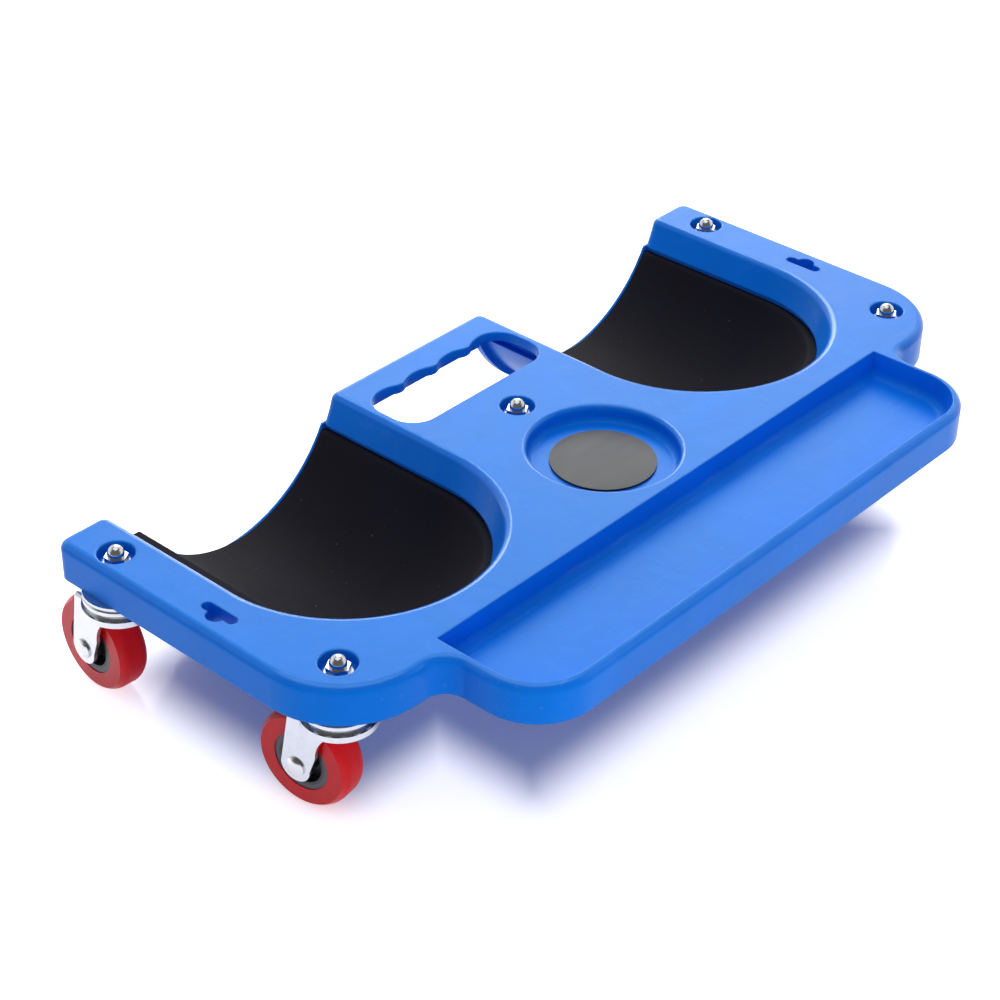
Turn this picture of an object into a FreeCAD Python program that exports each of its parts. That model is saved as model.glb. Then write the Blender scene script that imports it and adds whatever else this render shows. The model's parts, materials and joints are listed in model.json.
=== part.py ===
"""Mechanic's creeper: a moulded kneeling board with two padded knee troughs, a parts dish,
a tool tray and a carrying slot, on five ball-race swivel casters.

The frame is Z up with the floor at zero, X across the board and -Y towards the tray.
Every size is a cell of the sheet "Sizes"; the objects are bound to it by expressions.
"""
import FreeCAD, Part
import math
import os
import re

import Sketcher
from FreeCAD import Placement, Rotation, Vector

doc = FreeCAD.newDocument("creeper")

# ---------------------------------------------------------------- driving sizes (mm)
SIZES = {
    # wheel and caster
    "wheelradius": 25.0,
    "wheelwidth": 16.0,
    "treadflat": 7.0,
    "treadshoulder": 2.2,
    "shoulderradius": 7.0,
    "rimradius": 15.0,
    "rimhole": 11.2,
    "rimwidth": 15.0,
    "webthickness": 3.0,
    "hubradius": 6.4,
    "hubgap": 0.6,
    "axleradius": 3.0,
    "axleheadradius": 5.0,
    "axleheadheight": 2.4,
    "axledome": 1.5,
    "axletail": 1.0,
    "axlenutflats": 9.0,
    "axlenutheight": 4.0,
    "sleevewall": 1.0,
    "trail": 16.8,
    "forkplate": 2.0,
    "forkgap": 20.0,
    "forkendradius": 8.0,
    "legtopreach": 3.2,
    "legrootreach": 12.8,
    "legwaistreach": 3.4,
    "legwaistrise": 9.5,
    "legsweep": 19.2,
    "shoulderround": 2.4,
    "crownradius": 18.3,
    "crownthickness": 3.0,
    "wheelclearance": 3.5,
    "racethickness": 1.6,
    "racechamfer": 0.6,
    "raceradius": 16.4,
    "cagethickness": 4.1,
    "cageradius": 14.8,
    "cageinner": 9.0,
    "cupradius": 17.5,
    "cupheight": 4.4,
    "cupwall": 1.5,
    "cupband": 1.8,
    "cupgroove": 0.7,
    "cupgrooveheight": 0.4,
    "cupshrink": 0.2,
    "kingpinradius": 3.0,
    "kingpinhead": 6.4,
    "kingpinheadheight": 2.2,
    "kingpinchamfer": 0.8,
    "threadclearance": 0.5,
    "fit": 0.05,
    "axialgap": 0.3,
    # gaps from piece to piece, front to back
    "troughend": 28.2,
    "troughtraygap": 15.1,
    "dishtraygap": 7.0,
    "dishstemgap": 18.8,
    "slotstemgap": 23.2,
    "slotwidth": 37.2,
    "gripwidth": 14.9,
    "handlestep": 3.2,
    "rearsteminset": 27.8,
    "traybackstep": 8.5,
    "frontstemstep": 28.3,
    "noseflat": 13.5,
    "keystep": 9.2,
    # gaps from piece to piece, side to side
    "troughspread": 131.2,
    "stemtroughgap": 3.09,
    "stemedgegap": 0.3,
    "frontsteminset": 25.2,
    "bayflat": 5.0,
    "slotendwall": 5.09,
    "keyinset": 14.2,
    # board outline
    "wingcorner": 45.0,
    "rearcorner": 6.0,
    "mouthcorner": 5.0,
    "traycorner": 32.0,
    "baycorner": 12.0,
    "skirtheight": 20.0,
    "wall": 3.0,
    "edgeround": 4.0,
    # knee troughs and their pads
    "troughradius": 77.4,
    "troughrise": 20.6,
    "troughwall": 2.6,
    "recesswall": 2.0,
    "recessdrop": 15.5,
    "paddrop": 18.2,
    "padthickness": 3.2,
    "padrearmargin": 1.6,
    "padcupstep": 8.9,
    "padcupshift": 5.1,
    "padcupsink": 7.3,
    "glueline": 0.2,
    "collarheight": 3.6,
    "collarwidth": 4.5,
    "collarswinggap": 16.0,
    # stem bosses and nut recesses
    "bosswall": 2.4,
    "recessradius": 8.9,
    "recessdepth": 6.0,
    "stemholeplay": 0.2,
    "washerradius": 6.6,
    "washerthickness": 1.2,
    "nutflats": 10.0,
    "nuthexheight": 3.2,
    "nutdomeradius": 4.2,
    "nutheight": 8.4,
    # parts dish
    "dishradius": 38.0,
    "dishdepth": 8.6,
    "dishfloorround": 3.2,
    "dishrimround": 2.6,
    "dishwall": 2.4,
    "discradius": 26.8,
    "discthickness": 1.2,
    # tool tray
    "traydepth": 13.0,
    "trayfloor": 2.6,
    "trayrim": 4.6,
    "traydraft": 8.0,
    "traylipshare": 0.6,
    "trayfloorround": 5.0,
    # carrying slot
    "slotcorner": 14.0,
    "slotrim": 2.4,
    "slotrimdepth": 5.2,
    "fingerend": 1.5,
    "fingerradius": 20.0,
    "ridgeround": 7.0,
    # keyholes
    "keylength": 21.5,
    "keywidth": 5.6,
    "keyheadradius": 4.9,
    "keyheadoffset": 2.1,
    "keyrim": 2.4,
    "keyrimdepth": 12.0,
    "holeround": 0.9,
    "ribthickness": 2.0,
    "ribstep": 3.5,
    "ribreach": 30.0,
}

# heights and other sizes that follow from the driving ones
DERIVED = {
    "crownbottom": "2 * wheelradius + wheelclearance",
    "crowntop": "crownbottom + crownthickness",
    "racetop": "crowntop + racethickness",
    "cagebottom": "racetop + axialgap",
    "cagetop": "cagebottom + cagethickness",
    "skirtbottom": "cagetop + cupwall",
    "decktop": "skirtbottom + skirtheight",
    "troughheight": "decktop + troughrise",
    "padback": "troughradius + padthickness",
    "traylip": "traylipshare * (trayrim - edgeround)",
    "ribbottom": "skirtbottom + ribstep",
    "ribheight": "decktop - ribbottom",
    "recessback": "padback + glueline",
    "shellback": "recessback + recesswall",
    "seatheight": "decktop - recessdepth",
    "washertop": "seatheight + washerthickness",
    "forkwidth": "forkgap + 2 * forkplate",
    "dishfloor": "decktop - dishdepth",
    "padcupradius": "troughradius - padcupstep",
    "troughmouth": "sqrt(troughradius ^ 2 - troughrise ^ 2)",
    "rearstemspread": "troughspread + troughmouth + edgeround + recessradius + stemtroughgap",
    "boardhalfwidth": "rearstemspread + recessradius + edgeround + stemedgegap",
    "trayhalfwidth": "boardhalfwidth - wingcorner - baycorner - bayflat",
    "frontstemspread": "boardhalfwidth - frontsteminset",
    "keyspread": "boardhalfwidth - keyinset",
    "slothalflength": "troughspread - troughmouth - slotendwall",
    "fingerpitch": "(slothalflength - fingerend) / 2",
    "trayrear": "troughend - troughradius - troughtraygap",
    "wingfront": "trayrear - traybackstep",
    "trayfront": "wingfront - baycorner - traycorner - noseflat",
    "frontstemrow": "wingfront + frontstemstep",
    "dishrow": "trayrear + dishtraygap + dishradius",
    "centrestemrow": "dishrow + dishradius + dishstemgap",
    "slotfront": "centrestemrow + slotstemgap",
    "slotrear": "slotfront + slotwidth",
    "handleedge": "slotrear + gripwidth",
    "rearedge": "handleedge + handlestep",
    "rearstemrow": "rearedge - rearsteminset",
    "keyrow": "troughend - keystep",
}

sheet = doc.addObject("Spreadsheet::Sheet", "Sizes")
for row, (alias, content) in enumerate({**SIZES, **DERIVED}.items(), start=1):
    sheet.set("A%d" % row, alias)
    sheet.setAlias("B%d" % row, alias)
    sheet.set("B%d" % row, "=" + content if alias in DERIVED else str(content))
doc.recompute()


def formula(text):
    """Write a formula of size names as a FreeCAD expression on the sheet."""
    def swap(match):
        word = match.group(0)
        return "Sizes." + word if word in SIZES or word in DERIVED else word
    return re.sub(r"(?<![\w.])[a-z]+(?![\w(])", swap, str(text))


def value(text):
    """The number that a formula of size names comes to."""
    return float(sheet.evalExpression(formula(text)))


def bind(item, **sizes):
    """Bind properties of a document object to formulas of size names."""
    for prop, text in sizes.items():
        item.setExpression(prop, formula(text))
    return item


def place(item, x="0", y="0", z="0", turn=None):
    """Set a document object's Placement, its position bound to formulas."""
    item.Placement = Placement(Vector(), turn or Rotation())
    for axis, text in zip("xyz", (x, y, z)):
        item.setExpression("Placement.Base." + axis, formula(text))
    return item


def primitive(kind, name, x="0", y="0", z="0", turn=None, **sizes):
    """A Part primitive with bound sizes and position."""
    return place(bind(doc.addObject("Part::" + kind, name), **sizes), x, y, z, turn)


def fuse(name, *items):
    """One solid from several."""
    joined = doc.addObject("Part::MultiFuse", name)
    joined.Shapes = list(items)
    joined.Refine = True
    return joined


def cut(name, base, tool):
    """base less tool."""
    left = doc.addObject("Part::Cut", name)
    left.Base = base
    left.Tool = tool
    left.Refine = True
    return left


def common(name, first, second):
    """What two solids share."""
    shared = doc.addObject("Part::Common", name)
    shared.Base = first
    shared.Tool = second
    return shared


def round_edges(name, base, radius, wanted):
    """Round the edges of base that wanted(edge) picks, with the radius of a formula."""
    doc.recompute()
    item = doc.addObject("Part::Fillet", name)
    item.Base = base
    size = value(radius)
    picked = [i for i, edge in enumerate(base.Shape.Edges, start=1) if wanted(edge)]
    item.Edges = [(i, size, size) for i in picked]
    return item


# how far from a line an edge may be and still count as on it
NEAR = 0.05


def near(first, second):
    return abs(first - second) < NEAR


def middle(edge):
    """The point half way along an edge."""
    first, last = edge.ParameterRange
    return edge.valueAt((first + last) / 2)


# ---------------------------------------------------------------- sketches and bodies
def new_body(name):
    return doc.addObject("PartDesign::Body", name)


def origin_plane(body, role):
    return [item for item in body.Origin.OriginFeatures if item.Role == role][0]


def sketch_on(body, name, role, height="0"):
    """An empty sketch on one of the body's own origin planes."""
    sketch = body.newObject("Sketcher::SketchObject", name)
    sketch.AttachmentSupport = [(origin_plane(body, role), "")]
    sketch.MapMode = "FlatFace"
    sketch.setExpression("AttachmentOffset.Base.z", formula(height))
    return sketch


def pin_point(sketch, line, end, across, up):
    """Tie one end of a line to two formulas, or to an axis where one of them is 0."""
    for text, kind, axis in ((across, "DistanceX", -2), (up, "DistanceY", -1)):
        if text == "0":
            sketch.addConstraint(Sketcher.Constraint("PointOnObject", line, end, axis))
            continue
        number = value(text)
        order = (-1, 1, line, end) if number >= 0 else (line, end, -1, 1)
        sign = "" if number >= 0 else "-"
        index = sketch.addConstraint(Sketcher.Constraint(kind, *order, abs(number)))
        sketch.setExpression("Constraints[%d]" % index, formula(sign + "(" + text + ")"))


def outline(sketch, corners):
    """A closed outline through corners, each (across, up) or (across, up, bulge).

    Both are formulas of size names. A bulge is the radius of the arc that leaves the corner:
    positive turns to the left, negative to the right, none is a straight line.
    """
    points = [Vector(value(c[0]), value(c[1]), 0) for c in corners]
    ends = []
    for i, corner in enumerate(corners):
        start, stop = points[i], points[(i + 1) % len(points)]
        if len(corner) == 2:
            index = sketch.addGeometry(Part.LineSegment(start, stop), False)
            ends.append((index, 1, 2))
            continue
        radius = abs(value(corner[2]))
        left = value(corner[2]) > 0
        chord = stop - start
        side = Vector(-chord.y, chord.x, 0) * (1 if left else -1)
        side.normalize()
        lift = math.sqrt(max(radius ** 2 - (chord.Length / 2) ** 2, 0))
        centre = (start + stop) * 0.5 + side * lift
        first, last = (start, stop) if left else (stop, start)
        angles = [math.atan2(p.y - centre.y, p.x - centre.x) for p in (first, last)]
        circle = Part.Circle(centre, Vector(0, 0, 1), radius)
        index = sketch.addGeometry(Part.ArcOfCircle(circle, angles[0], angles[1]), False)
        ends.append((index, 1, 2) if left else (index, 2, 1))
        bound = sketch.addConstraint(Sketcher.Constraint("Radius", index, radius))
        sketch.setExpression("Constraints[%d]" % bound, formula("abs(" + corner[2] + ")"))
    for i, (index, start, _) in enumerate(ends):
        before, _, stop = ends[i - 1]
        sketch.addConstraint(Sketcher.Constraint("Coincident", before, stop, index, start))
        pin_point(sketch, index, start, corners[i][0], corners[i][1])


def revolved(name, corners, role="XZ_Plane"):
    """A body turned about its own Z axis from a half profile of (radius, height) corners."""
    body = new_body(name)
    sketch = sketch_on(body, name + "_profile", role)
    outline(sketch, corners)
    turn = body.newObject("PartDesign::Revolution", name + "_turn")
    turn.Profile = sketch
    turn.ReferenceAxis = (sketch, ["V_Axis"])
    turn.Angle = 360
    return body


def padded(body, name, role, corners, length, height="0", both=False, draft=None):
    """Extrude an outline in a body; both sides of the plane if asked."""
    sketch = sketch_on(body, name + "_outline", role, height)
    outline(sketch, corners)
    pad = body.newObject("PartDesign::Pad", name)
    pad.Profile = sketch
    pad.Midplane = both
    bind(pad, Length=length)
    if draft:
        bind(pad, TaperAngle=draft)
    return pad


def rectangle(x0, x1, y0, y1):
    """Corners of a rectangle between four formulas."""
    return [(x0, y0), (x1, y0), (x1, y1), (x0, y1)]


def hexagon(flats):
    """Corners of a hexagon across flats, a corner on the X axis."""
    across = "(%s) / sqrt(3)" % flats
    near = "(%s) / 2 / sqrt(3)" % flats
    half = "(%s) / 2" % flats
    return [(across, "0"), (near, half), ("-" + near, half), ("-" + across, "0"),
            ("-" + near, "-" + half), (near, "-" + half)]


def body_fillet(body, name, radius, wanted):
    """Round edges of a body's newest feature."""
    doc.recompute()
    base = body.Tip
    names = ["Edge%d" % i for i, edge in enumerate(base.Shape.Edges, start=1) if wanted(edge)]
    item = body.newObject("PartDesign::Fillet", name)
    item.Base = (base, names)
    bind(item, Radius=radius)
    return item


def upright(edge):
    """Does the edge climb from one height to another?"""
    return len(edge.Vertexes) == 2 and not near(edge.Vertexes[0].Z, edge.Vertexes[1].Z)


SUBPARTS = {}


def subpart(name, item):
    """Keep item as the sub-part that is written out under name."""
    item.Label = name
    SUBPARTS[name] = item
    return item


# ---------------------------------------------------------------- platform
TURN_TO_Y = Rotation(Vector(1, 0, 0), -90)


def trough_form(name, side, radius, start="troughend", end="rearedge", shift="0", sink="0"):
    """A lying cylinder that ends in a ball of the same radius: the form of one knee trough.

    shift and sink move its axis along X and down, away from the trough's own.
    """
    middle_x = "troughspread * %d + %s" % (side, shift)
    middle_z = "troughheight - " + sink
    barrel = primitive("Cylinder", name + "_barrel", middle_x, start, middle_z,
                       TURN_TO_Y, Radius=radius, Height="(%s) - (%s)" % (end, start))
    ball = primitive("Sphere", name + "_ball", middle_x, "troughend", middle_z, Radius=radius)
    return fuse(name, barrel, ball)


def slab(name, low, high):
    """A block wider than the board between two heights."""
    return primitive("Box", name, "-boardhalfwidth - wall", "trayfront - wall", low,
                     Length="2 * (boardhalfwidth + wall)",
                     Width="rearedge - trayfront + 2 * wall", Height="(%s) - (%s)" % (high, low))


def deck_form(name, inset, low, high):
    """The board's plan, drawn in by inset all round, as a block between two heights."""
    body = new_body(name)
    height = "(%s) - (%s)" % (high, low)
    half = "boardhalfwidth - " + inset
    nose = "trayhalfwidth - " + inset
    front = "wingfront + " + inset
    padded(body, name + "_wings", "XY_Plane",
           rectangle("-(%s)" % half, half, front, "rearedge - " + inset), height, low)
    padded(body, name + "_nose", "XY_Plane",
           rectangle("-(%s)" % nose, nose, "trayfront + " + inset, front + " + wall"),
           height, low)

    def corner(x, y):
        return lambda edge: (upright(edge) and near(abs(middle(edge).x), value(x))
                             and near(middle(edge).y, value(y)))

    body_fillet(body, name + "_wing_corners", "wingcorner - " + inset, corner(half, front))
    body_fillet(body, name + "_rear_corners", "rearcorner - " + inset,
                corner(half, "rearedge - " + inset))
    body_fillet(body, name + "_nose_corners", "traycorner - " + inset,
                corner(nose, "trayfront + " + inset))
    body_fillet(body, name + "_bay_corners", "baycorner + " + inset, corner(nose, front))
    return body


def deck_block():
    """The board's hollow block: wings and tray front in one skirted shell, open below."""
    outside = deck_form("deck_outside", "0", "skirtbottom", "decktop")
    inside = deck_form("deck_inside", "wall", "skirtbottom - wall", "decktop - wall")
    return cut("deck_block", outside, inside)


STEMS = {
    "rear_left": ("-rearstemspread", "rearstemrow", 87.0),
    "rear_right": ("rearstemspread", "rearstemrow", 93.0),
    "front_left": ("-frontstemspread", "frontstemrow", 97.9),
    "front_right": ("frontstemspread", "frontstemrow", 82.1),
    "centre": ("0", "centrestemrow", 90.0),
}


def slot_cutter():
    """The carrying slot: a rounded opening whose rear edge has a groove for each finger."""
    body = new_body("slot_envelope")
    padded(body, "slot_opening", "XY_Plane",
           rectangle("-slothalflength", "slothalflength", "slotfront", "slotrear"),
           "skirtheight + 2 * wall", "skirtbottom - wall")
    body_fillet(body, "slot_corners", "slotcorner", upright)
    ridge = "slotrear - fingerradius + sqrt(fingerradius ^ 2 - (fingerpitch / 2) ^ 2)"
    straight = primitive("Box", "slot_straight", "-slothalflength - wall", "slotfront - wall",
                         "skirtbottom - wall", Length="2 * (slothalflength + wall)",
                         Width=ridge + " - slotfront + wall",
                         Height="skirtheight + 2 * wall")
    fingers = [primitive("Cylinder", "finger_%d" % n, "fingerpitch * %g" % (n - 1.5),
                         "slotrear - fingerradius", "skirtbottom - wall",
                         Radius="fingerradius", Height="skirtheight + 2 * wall")
               for n in range(4)]
    grooves = fuse("slot_grooves", straight, *fingers)
    opening = common("slot_plain", body, grooves)
    rear = value(ridge)
    inside = value("slothalflength") - value("slotcorner")
    return round_edges("slot_cutter", opening, "ridgeround",
                       lambda e: upright(e) and near(middle(e).y, rear)
                       and abs(middle(e).x) < inside)


def tray_void():
    """The space in the tool tray: drafted walls, round front corners and a soft floor edge."""
    body = new_body("tray_void")
    lean = "traydepth * tan(traydraft * 1deg)"
    reach = "trayhalfwidth - trayrim - " + lean
    front = "trayfront + trayrim + " + lean
    rear = "trayrear - " + lean
    padded(body, "tray_space", "XY_Plane",
           rectangle("-(%s)" % reach, reach, front, rear), "traydepth + wall",
           "decktop - traydepth", draft="traydraft")
    half_way = value("trayfront + trayrear") / 2
    body_fillet(body, "tray_front_corners", "traycorner - trayrim",
                lambda e: upright(e) and middle(e).y < half_way)
    floor = value("decktop - traydepth")
    body_fillet(body, "tray_floor_round", "trayfloorround",
                lambda e: all(near(v.Z, floor) for v in e.Vertexes))
    return body


def tray_tub():
    """The block under the tray that the tray's walls and floor are left from."""
    body = new_body("tray_tub")
    reach = "trayhalfwidth - trayrim + wall"
    padded(body, "tray_block", "XY_Plane",
           rectangle("-(%s)" % reach, reach, "trayfront + trayrim - wall", "trayrear + wall"),
           "traydepth + trayfloor", "decktop - traydepth - trayfloor")
    half_way = value("trayfront + trayrear") / 2
    body_fillet(body, "tub_front_corners", "traycorner - trayrim + wall",
                lambda e: upright(e) and middle(e).y < half_way)
    return body


def dish_void():
    """The space in the parts dish, with a soft floor edge and a rounded rim."""
    rim = "dishradius + dishrimround"
    return revolved("dish_void", [
        ("0", "dishfloor"),
        ("dishradius - dishfloorround", "dishfloor", "dishfloorround"),
        ("dishradius", "dishfloor + dishfloorround"),
        ("dishradius", "decktop - dishrimround", "-dishrimround"),
        (rim, "decktop"),
        (rim, "decktop + wall"),
        ("0", "decktop + wall"),
    ])


def keyhole(side):
    """A slot through the deck and its frame; a round head bulges outwards half way along."""
    name = "keyhole_%s" % ("left" if side < 0 else "right")
    low = "decktop - keyrimdepth - wall"
    height = "keyrimdepth + 2 * wall"
    x = "keyspread * %d" % side
    run = "keylength - keywidth"
    bar = primitive("Box", name + "_bar", x + " - keywidth / 2", "keyrow - (%s) / 2" % run, low,
                    Length="keywidth", Width=run, Height=height)
    ends = [primitive("Cylinder", name + "_end%d" % i, x, "keyrow + (%s) * %g" % (run, k), low,
                      Radius="keywidth / 2", Height=height)
            for i, k in enumerate((-0.5, 0.5))]
    head = primitive("Cylinder", name + "_head", "%s + keyheadoffset * %d" % (x, side), "keyrow",
                     low, Radius="keyheadradius", Height=height)
    return fuse(name, bar, head, *ends)


def key_frame(side):
    """The thick rim that hangs under the deck round one keyhole."""
    return primitive("Box", "key_frame_%s" % ("left" if side < 0 else "right"),
                     "keyspread * %d - keywidth / 2 - keyrim - keyheadoffset" % side,
                     "keyrow - keylength / 2 - keyrim", "decktop - keyrimdepth",
                     Length="keywidth + 2 * (keyrim + keyheadoffset)",
                     Width="keylength + 2 * keyrim", Height="keyrimdepth")


def ribs():
    """Stiffening ribs under the deck, crossing at each stem's boss."""
    def rib(name, x, y, length, width):
        return primitive("Box", "rib_" + name, x, y, "ribbottom",
                         Length=length, Width=width, Height="ribheight")

    made = [rib("front", "-boardhalfwidth", "frontstemrow - ribthickness / 2",
                "2 * boardhalfwidth", "ribthickness"),
            rib("middle", "-troughspread", "centrestemrow - ribthickness / 2",
                "2 * troughspread", "ribthickness"),
            rib("spine", "-ribthickness / 2", "trayrear", "ribthickness",
                "slotfront - trayrear")]
    wing = "boardhalfwidth - troughspread"
    for side, word in ((-1, "left"), (1, "right")):
        made.append(rib("rear_" + word, "(%s) * %d / 2 + troughspread * %d - (%s) / 2"
                        % (wing, side, side, wing),
                        "rearstemrow - ribthickness / 2", wing, "ribthickness"))
        made.append(rib("rear_wing_" + word, "rearstemspread * %d - ribthickness / 2" % side,
                        "rearstemrow - ribreach", "ribthickness", "2 * ribreach"))
        made.append(rib("front_wing_" + word, "frontstemspread * %d - ribthickness / 2" % side,
                        "frontstemrow - ribreach", "ribthickness", "2 * ribreach"))
    inside = deck_form("rib_limits", "wall / 2", "ribbottom", "decktop - wall / 2")
    return common("ribs", fuse("rib_plates", *made), inside)


def platform():
    """The one-piece moulding."""
    solids = [deck_block()]
    spaces = []
    recesses = []
    for side, word in ((-1, "left"), (1, "right")):
        # the shell is thicker behind the pad recess, so it is built in two heights
        thin = trough_form("shell_thin_" + word, side, "troughradius + troughwall")
        solids.append(common("shell_high_" + word, thin,
                             slab("below_deck_" + word, "0", "decktop")))
        thick = trough_form("shell_thick_" + word, side, "shellback")
        solids.append(common("shell_low_" + word, thick,
                             slab("below_step_" + word, "0", "decktop - recessdrop + recesswall")))
        # collar round the outside of the open end, cut back where the rear wheel swings
        ring = primitive("Cylinder", "collar_ring_" + word, "troughspread * %d" % side,
                         "rearedge - collarwidth", "troughheight", TURN_TO_Y,
                         Radius="shellback + collarheight", Height="collarwidth")
        low_ring = common("collar_low_" + word, ring, slab("below_top_" + word, "0", "decktop"))
        swing = primitive("Cylinder", "swing_" + word, "rearstemspread * %d" % side,
                          "rearstemrow", "0", Radius="trail + wheelradius + collarswinggap",
                          Height="skirtbottom")
        solids.append(cut("collar_" + word, low_ring, swing))
        spaces.append(trough_form("knee_space_" + word, side, "troughradius",
                                  end="rearedge + wall"))
        behind = trough_form("pad_space_" + word, side, "recessback",
                             end="rearedge - padrearmargin + glueline")
        recesses.append(common("pad_recess_" + word, behind,
                               slab("below_edge_" + word, "0", "decktop - recessdrop")))
    for name, (x, y, _) in STEMS.items():
        solids.append(primitive("Cylinder", "boss_" + name, x, y, "skirtbottom",
                                Radius="recessradius + bosswall", Height="skirtheight"))
    # the walls that hang under the deck round the tray, the dish and the slot
    solids.append(tray_tub())
    solids.append(primitive("Cylinder", "dish_cup", "0", "dishrow",
                            "dishfloor - dishwall", Radius="dishradius + dishwall",
                            Height="dishdepth + dishwall"))
    solids.append(primitive("Box", "slot_frame", "-slothalflength - slotrim",
                            "slotfront - slotrim", "decktop - slotrimdepth",
                            Length="2 * (slothalflength + slotrim)",
                            Width="slotrear - slotfront + 2 * slotrim", Height="slotrimdepth"))
    solids += [key_frame(-1), key_frame(1), ribs()]
    handle_gap = primitive("Box", "handle_gap", "-troughspread + troughradius", "handleedge",
                           "0", Length="2 * (troughspread - troughradius)",
                           Width="rearedge - handleedge + wall", Height="decktop + wall")
    board = cut("board", fuse("board_solids", *solids), fuse("board_spaces", *spaces))
    doc.recompute()
    top = value("decktop")

    def on_rim(edge):
        return near(middle(edge).z, top) and all(near(v.Z, top) for v in edge.Vertexes)

    step = "decktop - recessdrop"
    upper = common("board_upper", board, slab("above_step", step, "decktop + wall"))
    lower = common("board_lower", board, slab("under_step", "0", step))
    doc.recompute()
    mouth = value("troughradius")

    def on_mouth(edge):
        """Where a trough's wall meets a rear face."""
        return (hasattr(edge.Curve, "Radius") and near(edge.Curve.Radius, mouth)
                and middle(edge).y > value("handleedge") - NEAR)

    cornered = round_edges("cornered_board", upper, "mouthcorner", on_mouth)
    doc.recompute()
    soft = fuse("soft_board", round_edges("soft_upper", cornered, "edgeround", on_rim), lower)
    details = recesses + [slot_cutter(), tray_void(), place(dish_void(), y="dishrow"),
                          keyhole(-1), keyhole(1)]
    for name, (x, y, _) in STEMS.items():
        details.append(primitive("Cylinder", "nut_recess_" + name, x, y, "seatheight",
                                 Radius="recessradius", Height="recessdepth + wall"))
        details.append(primitive("Cylinder", "stem_hole_" + name, x, y, "skirtbottom - wall",
                                 Radius="kingpinradius + stemholeplay",
                                 Height="skirtheight + 2 * wall"))
    plain = cut("platform_plain", soft, fuse("details", *details))
    doc.recompute()

    def rim_within(side, front, rear):
        side, front, rear = value(side) + NEAR, value(front) - NEAR, value(rear) + NEAR
        return lambda edge: (on_rim(edge) and abs(middle(edge).x) < side
                             and front < middle(edge).y < rear)

    on_tray = rim_within("trayhalfwidth - trayrim", "trayfront + trayrim", "trayrear")
    on_slot = rim_within("slothalflength", "slotfront", "slotrear")

    def on_recess(edge):
        return (on_rim(edge) and hasattr(edge.Curve, "Radius")
                and near(edge.Curve.Radius, value("recessradius")))

    lipped = round_edges("platform_lips", plain, "traylip", on_tray)
    return subpart("platform", round_edges("platform_solid", lipped, "holeround",
                                           lambda e: on_slot(e) or on_recess(e)))


def knee_pad(side):
    """A foam pad that lines one trough; its cup leans the same way on both sides."""
    word = "left" if side < 0 else "right"
    outer = trough_form("pad_outer_" + word, side, "padback", end="rearedge - padrearmargin")
    inner = trough_form("pad_inner_" + word, side, "padcupradius", end="rearedge + wall",
                        shift="padcupshift", sink="padcupsink")
    foam = cut("pad_skin_" + word, outer, inner)
    level = slab("pad_level_" + word, "0", "decktop - paddrop")
    return subpart("knee_pad_" + word, common("pad_" + word, foam, level))


# ---------------------------------------------------------------- fastenings and dish disc
def compound(name, items):
    group = doc.addObject("Part::Compound", name)
    group.Links = items
    return group


def acorn_nut(name, x, y):
    """A low domed nut with a blind thread hole."""
    body = new_body("nut_" + name)
    padded(body, "nut_hex_" + name, "XY_Plane", hexagon("nutflats"), "nuthexheight")
    dome_base = "nutheight - nutdomeradius"
    sketch = sketch_on(body, "nut_dome_profile_" + name, "XZ_Plane")
    outline(sketch, [("0", "0"), ("nutdomeradius", "0"),
                     ("nutdomeradius", dome_base, "nutdomeradius"), ("0", "nutheight")])
    dome = body.newObject("PartDesign::Revolution", "nut_dome_" + name)
    dome.Profile = sketch
    dome.ReferenceAxis = (sketch, ["V_Axis"])
    dome.Angle = 360
    bore = body.newObject("PartDesign::SubtractiveCylinder", "nut_bore_" + name)
    bind(bore, Radius="kingpinradius + fit", Height=dome_base)
    return place(body, x, y, "washertop", Rotation(Vector(0, 0, 1), 30))


def washer(name, x, y):
    return place(revolved("washer_" + name, rectangle("kingpinradius + stemholeplay",
                                                      "washerradius", "0", "washerthickness")),
                 x, y, "seatheight")


def dish_disc():
    return subpart("dish_disc", primitive("Cylinder", "disc", "0", "dishrow", "dishfloor",
                                          Radius="discradius", Height="discthickness"))


# ---------------------------------------------------------------- casters
def along(heading, reach):
    """X and Y offsets of a point reach ahead of the stem, as formulas."""
    angle = math.radians(heading)
    return "(%s) * %.9f" % (reach, math.cos(angle)), "(%s) * %.9f" % (reach, math.sin(angle))


def kingpin(name):
    """The fixed pin that the fork turns on, threaded at the top for the acorn nut."""
    head = "crownbottom - axialgap"
    tip = "washertop + nutheight - nutdomeradius - threadclearance"
    return revolved("pin_" + name, [
        ("0", head + " - kingpinheadheight"),
        ("kingpinhead - kingpinchamfer", head + " - kingpinheadheight"),
        ("kingpinhead", head + " - kingpinheadheight + kingpinchamfer"),
        ("kingpinhead", head),
        ("kingpinradius", head),
        ("kingpinradius", tip),
        ("0", tip),
    ])


def top_cup(name):
    """The pressed cup under the board, with a bead at its lip."""
    low = "skirtbottom - cupheight"
    band = low + " + cupband"
    return revolved("cup_" + name, [
        ("kingpinradius + fit", "skirtbottom - cupwall"),
        ("cupradius - cupwall", "skirtbottom - cupwall"),
        ("cupradius - cupwall", low),
        ("cupradius", low),
        ("cupradius", band),
        ("cupradius - cupgroove", band + " + cupgroove"),
        ("cupradius - cupgroove", band + " + cupgroove + cupgrooveheight"),
        ("cupradius - cupshrink", band + " + 2 * cupgroove + cupgrooveheight - cupshrink"),
        ("cupradius - cupshrink", "skirtbottom"),
        ("kingpinradius + fit", "skirtbottom"),
    ])


def ball_cage(name):
    return revolved("cage_" + name, rectangle("cageinner", "cageradius", "cagebottom",
                                              "cagetop"))


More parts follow.
